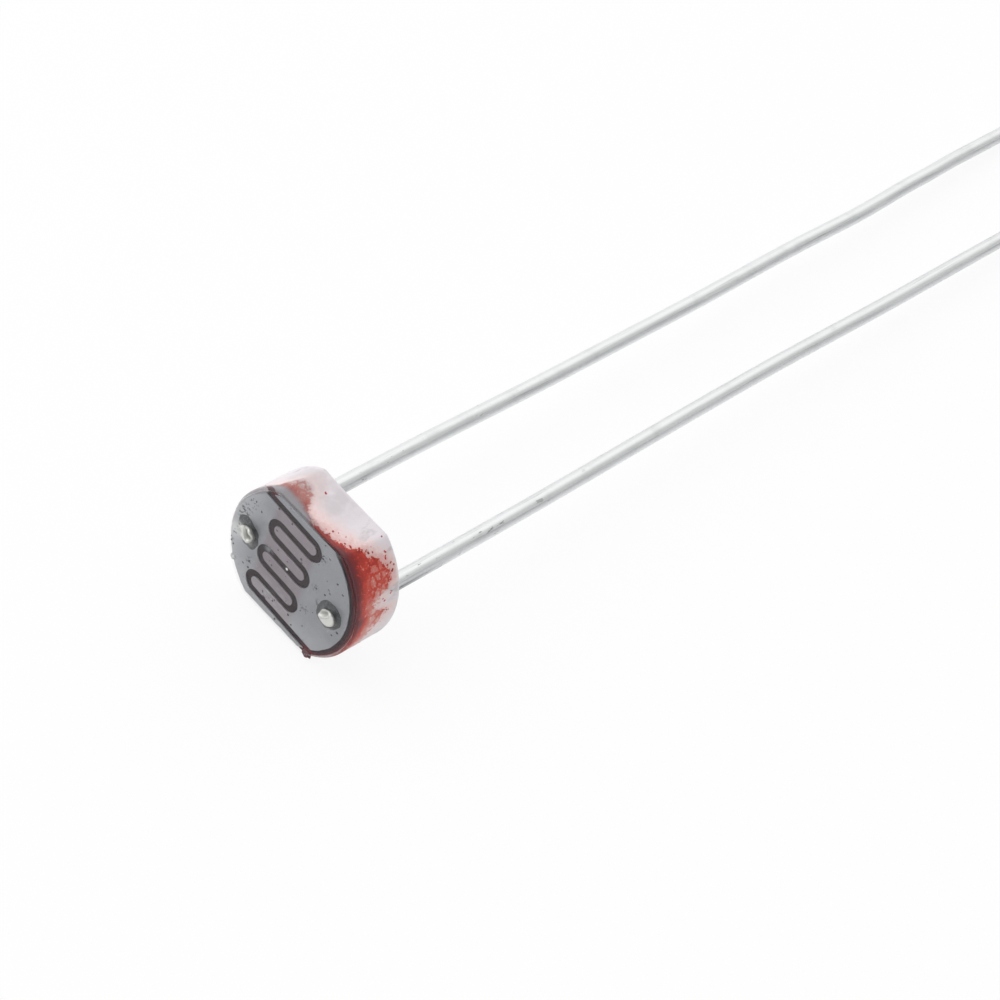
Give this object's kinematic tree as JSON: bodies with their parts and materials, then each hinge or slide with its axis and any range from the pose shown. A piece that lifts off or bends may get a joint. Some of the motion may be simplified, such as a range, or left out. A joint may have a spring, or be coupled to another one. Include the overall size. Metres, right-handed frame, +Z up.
{
  "type": "photoresistor",
  "caption": "Light-sensitive resistor: a flatted ceramic disc with a winding track between comb electrodes on its face, under clear resin, and long wire leads for soldering.",
  "frame": {"origin": "centre of the footprint on the ground, where the part lies on its lower flat's back edge and on both lead tips", "axes": "+X from the left lead to the right lead, +Y from the front face along the leads to their tips, +Z up"},
  "size_m": [0.005, 0.04, 0.0044],
  "materials": {
    "ceramic": "white ceramic with red run-over stains",
    "light_layer": "dark maroon film",
    "electrode": "dull grey metal film",
    "wire": "bright tinned wire",
    "paste": "dark grey conductive paste",
    "resin": "clear glossy resin"
  },
  "bodies": {
    "root": {"ceramic_body": "ceramic", "light_layer": "light_layer", "electrode_left": "electrode", "electrode_right": "electrode", "lead_left": "wire", "lead_right": "wire", "joint_left": "paste", "joint_right": "paste", "clear_coat": "resin"}
  },
  "joints": []
}
